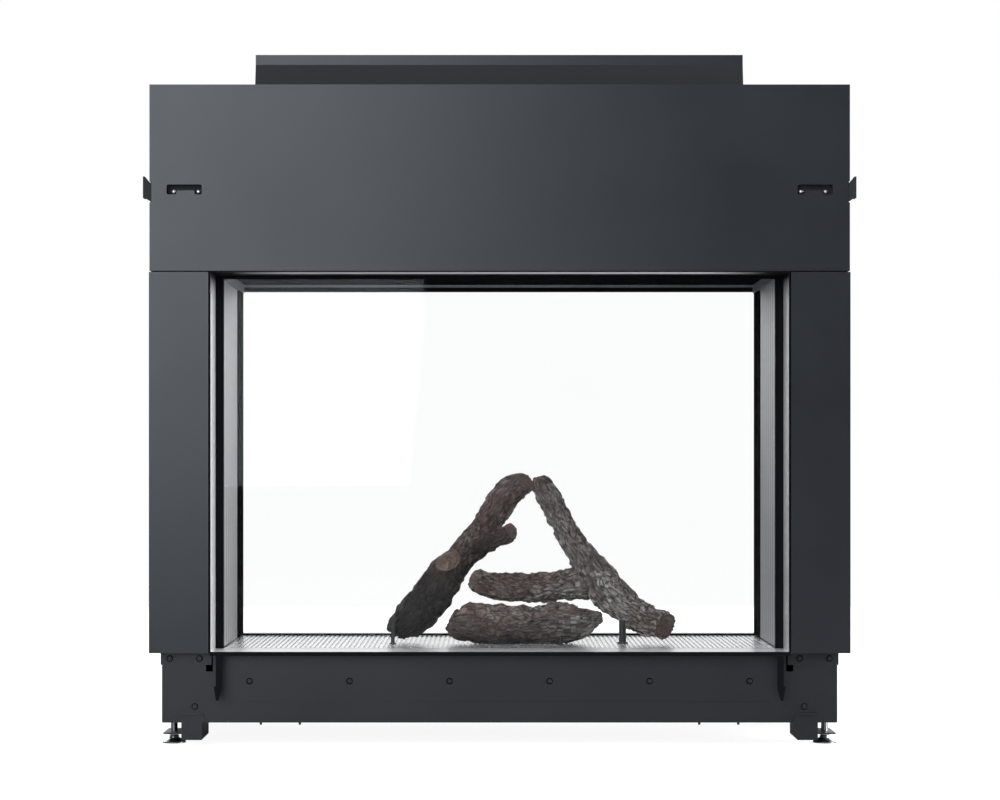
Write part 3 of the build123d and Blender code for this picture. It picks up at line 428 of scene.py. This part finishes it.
def ceramic_bark():
    """Painted ceramic log: dark cracks, bark darker towards the bottom, brown and grey ridges, paler cut
    ends.
    """
    material, tree, shader = new_material("ceramic_bark")
    lengthwise = add(tree, "ShaderNodeAttribute", attribute_name="grain").outputs["Vector"]
    cut = add(tree, "ShaderNodeAttribute", attribute_name="cut").outputs["Fac"]
    lower_dark = add(tree, "ShaderNodeAttribute", attribute_name="lower_dark").outputs["Fac"]
    bark = use_group(tree, BARK, Grain=lengthwise)
    pale = remap(tree, axes_of(tree, object_place(tree))[0], PALE_FROM_X)
    dark_ridge = mix_colour(tree, pale, *DARK_RIDGES)
    light_ridge = mix_colour(tree, pale, *LIGHT_RIDGES)
    ridge = mix_colour(tree, bark["Patch"], dark_ridge, light_ridge)
    flecked = mix_colour(tree, compute(tree, "MULTIPLY", bark["Fleck"], 0.5), ridge, FLECKS)
    surface = mix_colour(tree, bark["Ridge"], CRACKS, flecked)
    bark_colour = mix_colour(tree, lower_dark, surface, mix_colour(tree, bark["Ridge"], *LOWER_BARK))
    rings = grain_noise(tree, stretch(tree, lengthwise, (40.0, 30.0, 420.0)), 1.0, 4.0)
    wood = mix_colour(tree, remap(tree, rings, (0.35, 0.65)), *CUT_WOOD)
    plug(tree, shader["Base Color"], mix_colour(tree, cut, bark_colour, wood))
    plug(tree, shader["Roughness"], remap(tree, bark["Ridge"], (0.0, 1.0), (0.85, 0.38)))
    plug(tree, shader["Normal"], bumped(tree, bark["Height"], 1.0, 0.0045))
    return material


# Scale of the streaks along each axis, for sheets rolled one way and for cast metal
ALONG_X = (4.0, 260.0, 260.0)
ALONG_Y = (260.0, 4.0, 260.0)
ALONG_Z = (260.0, 260.0, 4.0)
CAST = (220.0, 220.0, 220.0)

# Painted shade deep between the flutes of the side liners and between the ribs of the deck
FLUTE_SHADE = (0, 0.4922, 0.4942, 0.8)
RIB_SHADE = (2, 0.1694, 0.1684, 0.26)

FINISHES = {
    "panel": coated_steel("panel_coating", (0.015, 0.0172, 0.0215), 0.32, (0.028, 0.030, 0.034), 0.08),
    "casing": coated_steel("casing_coating", (0.019, 0.021, 0.024), 0.42, (0.05, 0.05, 0.055), 0.12),
    "dark_sheet": coated_steel("dark_sheet", (0.026, 0.026, 0.027), 0.62, (0.05, 0.05, 0.05), gloss=0.2),
    "black_liner": coated_steel(
        "black_liner", (0.009, 0.009, 0.0095), 0.75, (0.02, 0.02, 0.02), gloss=0.0, dust=0.0
    ),
    "liner": coated_steel(
        "liner", (0.19, 0.192, 0.198), 0.40, (0.24, 0.24, 0.24), metallic=0.3, groove_shade=FLUTE_SHADE
    ),
    # The base's edge colour is far lighter than its coat: a painted highlight along its edges and bends
    "base": coated_steel("base_coating", (0.0125, 0.014, 0.0165), 0.36, (0.075, 0.078, 0.082), 0.15),
    "trim": satin_trim(),
    "deck": rolled_steel("deck_sheet", (0.80, 0.805, 0.81), 0.27, ALONG_Y, 0.7, 0.02, 0.0, RIB_SHADE),
    "zinc_sheet": rolled_steel("zinc_sheet", (0.36, 0.37, 0.38), 0.42, ALONG_Z),
    "bright_steel": rolled_steel("bright_steel", (0.55, 0.55, 0.54), 0.24, ALONG_Z, variation=0.10),
    "foot_steel": rolled_steel("foot_steel", (0.33, 0.33, 0.34), 0.30, ALONG_Y, variation=0.12),
    "valve_alloy": rolled_steel("valve_alloy", (0.48, 0.47, 0.45), 0.48, CAST),
    "screws": coated_steel("screw_black", (0.030, 0.030, 0.032), 0.38, (0.12, 0.12, 0.12), metallic=0.5),
    "glass": clear_pane(),
    "gasket": braided_gasket(),
    "knob_plastic": moulded_plastic(),
    "log": ceramic_bark(),
}


def finish_nodes():
    """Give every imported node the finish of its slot."""
    for part in frame["record"]["subparts"]:
        node = frame["nodes"][part["node"]]
        for slot in node.material_slots:
            slot.material = FINISHES[part["material_slot"]]


# Logs
VOXEL = 0.0021
RING_SIDES = 20
CURVE_STEPS = 4
SMOOTH_PASSES = 2
DECK_Z = 0.1695
REST_GAP = 0.0002
CUT_DEPTH = 0.004
GRAIN_RADIUS = 0.03
LIMB_SPACING = 0.7

# Each limb runs along points (x, y, z, radius) in millimetres, and ends square to a direction.
LEFT_LOG = (
    (
        (0.6, -0.6, 0.5),
        (-190, -22, 182, 21),
        (-180, -22, 196, 30),
        (-159, -20, 216, 38),
        (-121, -16, 260, 38),
        (-91, -12, 302, 33),
        (-66, -8, 330, 29),
        (-28, -2, 379, 29),
        (-8, 2, 410, 25),
        (15, 5, 441, 27),
        (34, 6, 458, 26),
        (50, 2, 467, 19),
    ),
    (
        (0.75, -0.6, 0.3),
        (-44, -4, 344, 22),
        (-14, -18, 358, 20),
        (8, -26, 368, 19),
        (24, -34, 376, 17),
    ),
    (
        (-0.30, -0.62, 0.72),
        (-84, -12, 288, 27),
        (-90, -26, 306, 27),
        (-93, -38, 320, 25),
    ),
)
RIGHT_LOG = (
    (
        (0.72, -0.66, -0.22),
        (74, 22, 476, 10),
        (80, 20, 460, 20),
        (104, 12, 414, 23),
        (131, 2, 364, 25),
        (158, -6, 322, 29),
        (180, -14, 290, 35),
        (206, -24, 258, 34),
        (237, -34, 232, 32),
        (270, -44, 212, 30),
        (304, -56, 200, 27),
    ),
    (
        (-0.93, -0.3, 0.2),
        (166, -8, 282, 32),
        (120, -4, 274, 28),
        (76, -2, 270, 27),
        (24, 0, 269, 27),
        (-13, 4, 274, 25),
        (-38, 8, 281, 22),
        (-50, 9, 284, 17),
    ),
)
BOTTOM_LOG = (
    (
        (0.95, -0.25, 0.1),
        (-88, -46, 214, 22),
        (-74, -48, 208, 32),
        (-50, -50, 207, 38),
        (2, -50, 203, 38),
        (57, -50, 203, 36),
        (110, -50, 206, 40),
        (140, -50, 206, 34),
        (160, -50, 212, 24),
        (176, -50, 217, 17),
        (188, -50, 218, 10),
    ),
    (
        (0.6, -0.7, 0.4),
        (104, -56, 214, 30),
        (128, -62, 224, 20),
        (142, -66, 228, 13),
    ),
)


def smooth_path(points):
    """Points of a limb with more between each pair, on a smooth curve."""
    points = [Vector((x * MM, y * MM, z * MM, r * MM)) for x, y, z, r in points]
    ends = [points[0], *points, points[-1]]
    path = []
    for before, start, end, after in zip(ends, ends[1:], ends[2:], ends[3:]):
        for step in range(CURVE_STEPS):
            t = step / CURVE_STEPS
            straight = 2 * start + (end - before) * t
            bend = (2 * before - 5 * start + 4 * end - after) * t * t
            twist = (3 * start - before - 3 * end + after) * t * t * t
            path.append(0.5 * (straight + bend + twist))
    path.append(points[-1])
    return path


def limb_mesh(bm, path, end_facing):
    """Closed round limb: rings set square to the path and bridged."""
    rings = []
    for index, point in enumerate(path):
        before = path[max(index - 1, 0)]
        after = path[min(index + 1, len(path) - 1)]
        last = index == len(path) - 1
        facing = Vector(end_facing) if last else (after - before).to_3d()
        turn = facing.to_track_quat("Z", "Y").to_matrix().to_4x4()
        place = Matrix.Translation(point.to_3d()) @ turn
        shape = {"segments": RING_SIDES, "radius": point[3], "cap_ends": last or index == 0}
        made = bmesh.ops.create_circle(bm, matrix=place, **shape)
        rings.append(list({edge for vert in made["verts"] for edge in vert.link_edges}))
    for low, high in zip(rings, rings[1:]):
        bmesh.ops.bridge_loops(bm, edges=low + high)


def nearest_limb(place, paths):
    """Limb that a surface point lies on: number, distance along, core, direction, depth from the end."""
    best = None
    for number, path in enumerate(paths):
        travelled = 0.0
        for start, end in zip(path, path[1:]):
            run = (end - start).to_3d()
            length = max(run.length, 1e-6)
            along = max(0.0, min(1.0, (place - start.to_3d()).dot(run) / length**2))
            core = start.lerp(end, along)
            depth = (place - core.to_3d()).length - core[3]
            if best is None or depth < best[0]:
                best = (depth, number, travelled + along * length, core.to_3d(), run / length)
            travelled += length
    return best


def ridged(value):
    """Sharp ridges from smooth noise."""
    return 1.0 - abs(value) * 2.0


def bark_lift(number, along, around, place):
    """How far the bark stands out at a point of a limb."""
    sway = 1.6 * noise.noise(Vector((along * 22, around * 30, number * 7.3)))
    fibre = Vector((along * 26, around * 95 + sway, number * 11.7))
    ridge = ridged(noise.noise(fibre)) * 0.6 + ridged(noise.noise(fibre * 2.1)) * 0.4
    near, far = noise.voronoi(Vector((along * 42, around * 88 + sway, number * 5.1)))[0][:2]
    plate = min(1.0, (far - near) / 0.35)
    lump = noise.noise(place * 26 + Vector((number * 3.1, 0, 0)))
    knuckle = noise.noise(place * 62 + Vector((0, number * 5.3, 0)))
    crumb = noise.noise(place * 190)
    rough = 0.0022 * ridge + 0.0032 * plate + 0.0014 * crumb
    return rough + 0.0052 * lump + 0.0030 * knuckle - 0.0045


def fused_blank(name, limbs, paths):
    """One closed skin round all the limbs of a log."""
    bm = bmesh.new()
    for limb, path in zip(limbs, paths):
        limb_mesh(bm, path, limb[0])
    bmesh.ops.recalc_face_normals(bm, faces=bm.faces)
    rough = bpy.data.meshes.new(name)
    bm.to_mesh(rough)
    bm.free()
    blank = bpy.data.objects.new(name + "_blank", rough)
    bpy.context.scene.collection.objects.link(blank)
    fuse = blank.modifiers.new("fuse", "REMESH")
    fuse.mode = "VOXEL"
    fuse.voxel_size = VOXEL
    ready = blank.evaluated_get(bpy.context.evaluated_depsgraph_get())
    mesh = bpy.data.meshes.new_from_object(ready)
    bpy.data.objects.remove(blank)
    return mesh


def point_attribute(mesh, name, values, kind="FLOAT"):
    """Store a value for each vertex, for the finish to read."""
    attribute = mesh.attributes.new(name, kind, "POINT")
    attribute.data.foreach_set("value" if kind == "FLOAT" else "vector", values)


def sculpted_log(name, limbs, seed, dark_span):
    """Log fused from its limbs, with cracked bark along each, flat where it rests."""
    paths = [smooth_path(points[1:]) for points in limbs]
    ends = [(path[-1].to_3d(), Vector(limb[0]).normalized()) for limb, path in zip(limbs, paths)]
    mesh = fused_blank(name, limbs, paths)
    bm = bmesh.new()
    bm.from_mesh(mesh)
    every_way = {"use_axis_x": True, "use_axis_y": True, "use_axis_z": True}
    for _ in range(SMOOTH_PASSES):
        bmesh.ops.smooth_vert(bm, verts=bm.verts, factor=0.5, **every_way)
    bm.normal_update()
    grains, cuts, lower_darks = [], [], []
    for vert in bm.verts:
        _, number, along, core, direction = nearest_limb(vert.co, paths)
        out = vert.co - core
        side = Vector((0, 0, 1)).cross(direction).normalized()
        around = GRAIN_RADIUS * math.atan2(out.dot(direction.cross(side)), out.dot(side))
        end_place, end_facing = ends[number]
        square = (vert.normal.dot(end_facing) - 0.80) / 0.12
        behind = (vert.co - end_place).dot(end_facing)
        cut = max(0.0, min(1.0, square)) if behind > -CUT_DEPTH else 0.0
        lift = bark_lift(number + seed, along, around, vert.co)
        # Darker towards the bottom of the log over the given span of heights, broken up by noise
        lower_dark = 1 - (vert.co.z - dark_span[0]) / (dark_span[1] - dark_span[0])
        lower_dark += 0.5 * noise.noise(vert.co * 18)
        vert.co += vert.normal * (lift * (1 - 0.75 * cut))
        vert.co.z = max(vert.co.z, DECK_Z + REST_GAP)
        grains += [along + number * LIMB_SPACING, around, out.length]
        cuts.append(cut)
        lower_darks.append(max(0.0, min(1.0, lower_dark)))
    bm.to_mesh(mesh)
    bm.free()
    point_attribute(mesh, "grain", grains, "FLOAT_VECTOR")
    point_attribute(mesh, "cut", cuts)
    point_attribute(mesh, "lower_dark", lower_darks)
    mesh.shade_smooth()
    mesh.materials.clear()
    mesh.materials.append(FINISHES["log"])
    piece = bpy.data.objects.new("bark_" + name, mesh)
    bpy.context.scene.collection.objects.link(piece)
    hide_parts(name)
    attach(piece, "casing")


# Small turned pieces, in metres
FASCIA_SCREW_PITCH = 0.1762
FASCIA_SCREW_Z = 0.1158
PLATE_SCREW_X = (0.5285, 0.581)
PLATE_SCREW_Z = 0.1557
BASE_SCREW_Y = 0.2222
LEG_SCREW = (0.537, 0.2202, 0.071)
# Black rings round the screw heads, standing for the shade in the gap round each head
SHADE_RING_RADIUS = 0.0047
SHADE_RING_THICK = 0.0012
SHADE_RING_SIDES = 8
SPIN_STEPS = 28
PIN_END_Y = 0.243
PIN_SPOTS = ((0.528, 0.9755), (0.571, 0.9755))
PIN_PROFILE = (
    (0.0, 0.0),
    (0.0034, 0.0),
    (0.0034, 0.0012),
    (0.0027, 0.0022),
    (0.0014, 0.0028),
    (0.0, 0.0030),
)


def turn_outwards(x, y, z):
    """Place of a piece turned round Z, laid to face away from the middle."""
    face = 1 if y > 0 else -1
    return Matrix.Translation((x, y, z)) @ Matrix.Rotation(math.radians(-90 * face), 4, "X")


def spun(bm, profile, closed, place):
    """Profile of (radius, height) points spun round Z and put in its place."""
    before = set(bm.verts)
    points = [bm.verts.new((radius, 0, height)) for radius, height in profile]
    pairs = list(zip(points, points[1:])) + ([(points[-1], points[0])] if closed else [])
    edges = [bm.edges.new(pair) for pair in pairs]
    turn = {"cent": (0, 0, 0), "axis": (0, 0, 1), "angle": math.tau, "steps": SPIN_STEPS, "use_merge": True}
    bmesh.ops.spin(bm, geom=points + edges, **turn)
    made = [vert for vert in bm.verts if vert not in before]
    bmesh.ops.transform(bm, matrix=place, verts=made)
    bmesh.ops.remove_doubles(bm, verts=made, dist=0.00001)


def small_piece(name, bm, slot):
    """Finish a piece of the casing from its mesh."""
    bmesh.ops.recalc_face_normals(bm, faces=bm.faces)
    mesh = bpy.data.meshes.new(name)
    bm.to_mesh(mesh)
    bm.free()
    mesh.shade_smooth()
    mesh.materials.append(FINISHES[slot])
    piece = bpy.data.objects.new(name, mesh)
    bpy.context.scene.collection.objects.link(piece)
    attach(piece, "casing")


def screw_shade_rings():
    """Thin black ring round the head of each screw on the base's two faces, a painted shade in the gap
    round each head.
    """
    spots = [((index - 2.5) * FASCIA_SCREW_PITCH, BASE_SCREW_Y, FASCIA_SCREW_Z) for index in range(6)]
    leg_x, leg_y, leg_z = LEG_SCREW
    for side in (-1, 1):
        spots += [(side * x, BASE_SCREW_Y, PLATE_SCREW_Z) for x in PLATE_SCREW_X]
        spots.append((side * leg_x, leg_y, leg_z))
    corners = [math.tau * step / SHADE_RING_SIDES for step in range(SHADE_RING_SIDES)]
    ring = [(SHADE_RING_RADIUS + SHADE_RING_THICK * math.cos(turn), SHADE_RING_THICK * math.sin(turn)) for turn in corners]
    bm = bmesh.new()
    for x, y, z in spots:
        for face in (-1, 1):
            spun(bm, ring, True, turn_outwards(x, face * y, z))
    small_piece("screw_shade_rings", bm, "black_liner")


def pin_ends():
    """Bright rounded ends of the hanging pins behind the slots."""
    bm = bmesh.new()
    for x, z in PIN_SPOTS:
        for side in (-1, 1):
            for face in (-1, 1):
                spun(bm, PIN_PROFILE, False, turn_outwards(side * x, face * PIN_END_Y, z))
    small_piece("pin_ends", bm, "deck")


# Studio
FLOOR_HALF = 7.0
FLOOR_SHIFT = -3.0
SHADOW_REACH = (0.9, 2.6)
FLOOR_GLOW = (0.91, 1.0)
AMBIENT = 0.16
ROOM = 0.10

# Name, place, target, size, power and colour of each soft box
LIGHTS = (
    ("key", (-2.15, -5.2, 2.32), (-0.2, 0.0, 0.7), (4.2, 4.0), 216, (0.86, 0.93, 1.0)),
    ("side", (4.7, -0.9, 0.8), (-0.4, -0.1, 0.5), (2.0, 2.0), 330, (1.0, 0.99, 0.98)),
    ("back", (3.4, 4.6, 2.3), (0.1, 0.0, 0.7), (3.2, 3.2), 110, (1.0, 1.0, 1.0)),
    ("top", (0.0, -0.6, 3.6), (0.0, 0.0, 0.6), (3.0, 2.0), 40, (1.0, 1.0, 1.0)),
    ("rear", (-2.6, 3.0, 1.6), (0.5, 0.1, 0.5), (1.6, 1.6), 40, (1.0, 1.0, 1.0)),
)


def sight(tree):
    """Whether a ray comes straight from the camera, also through glass, and whether it was mirrored."""
    path = add(tree, "ShaderNodeLightPath").outputs
    mirrored = compute(tree, "GREATER_THAN", path["Glossy Depth"], 0.5)
    scattered = compute(tree, "GREATER_THAN", path["Diffuse Depth"], 0.5)
    turned = compute(tree, "MAXIMUM", mirrored, scattered)
    through = compute(tree, "MULTIPLY", path["Is Transmission Ray"], compute(tree, "SUBTRACT", 1.0, turned))
    seen = compute(tree, "MAXIMUM", path["Is Camera Ray"], through)
    gloss = compute(tree, "MULTIPLY", mirrored, compute(tree, "SUBTRACT", 1.0, scattered))
    return seen, gloss


def studio_floor():
    """Pale floor that shows as white and keeps the shadow."""
    material, tree, shader = new_material("studio_floor", Roughness=0.9, Specular_IOR_Level=0.0)
    tone = grain_noise(tree, object_place(tree), 0.6)
    pale = mix_colour(tree, tone, (0.42, 0.42, 0.42, 1), (0.44, 0.44, 0.44, 1))
    plug(tree, shader["Base Color"], pale)
    seen, _ = sight(tree)
    away = add(tree, "ShaderNodeVectorMath", {0: object_place(tree)}, operation="LENGTH").outputs["Value"]
    glow = remap(tree, away, SHADOW_REACH, FLOOR_GLOW)
    plug(tree, shader["Emission Color"], (1, 1, 1, 1))
    plug(tree, shader["Emission Strength"], compute(tree, "MULTIPLY", seen, glow))
    bm = bmesh.new()
    bmesh.ops.create_grid(bm, x_segments=1, y_segments=1, size=FLOOR_HALF)
    bmesh.ops.translate(bm, verts=bm.verts, vec=(0, FLOOR_SHIFT, 0))
    mesh = bpy.data.meshes.new("floor")
    bm.to_mesh(mesh)
    bm.free()
    mesh.materials.append(material)
    floor = bpy.data.objects.new("floor", mesh)
    bpy.context.scene.collection.objects.link(floor)


def studio_world():
    """Room light, paler to the right behind the object; white where seen directly."""
    world = bpy.data.worlds.new("studio")
    world.use_nodes = True
    tree = world.node_tree
    direction = add(tree, "ShaderNodeTexCoord").outputs["Generated"]
    axes = axes_of(tree, direction)
    rear = remap(tree, axes[1], (0.1, 0.7))
    across = remap(tree, axes[0], (-0.13, 0.10), (0.16, 1.0), "SMOOTHSTEP")
    above = remap(tree, axes[2], (0.0, 0.06))
    wall = compute(tree, "MAXIMUM", across, above)
    room = compute(tree, "ADD", compute(tree, "MULTIPLY", rear, wall), ROOM)
    seen, gloss = sight(tree)
    reflected = compute(tree, "MULTIPLY", gloss, room)
    ambient = compute(tree, "MULTIPLY", compute(tree, "SUBTRACT", 1.0, gloss), AMBIENT)
    lit = compute(tree, "ADD", reflected, ambient)
    strength = compute(tree, "MAXIMUM", lit, seen)
    plug(tree, tree.nodes["Background"].inputs["Color"], (1, 1, 1, 1))
    plug(tree, tree.nodes["Background"].inputs["Strength"], strength)
    bpy.context.scene.world = world


def studio():
    """Lights, floor and background."""
    bpy.context.scene.view_settings.view_transform = "Standard"
    studio_world()
    studio_floor()
    for light in LIGHTS:
        soft_light(*light)


camera()
studio()
finish_nodes()
screw_shade_rings()
pin_ends()
sculpted_log("log_left", LEFT_LOG, 1, (0.27, 0.43))
sculpted_log("log_right", RIGHT_LOG, 4, (0.0, 0.12))
sculpted_log("log_bottom", BOTTOM_LOG, 7, (0.155, 0.23))
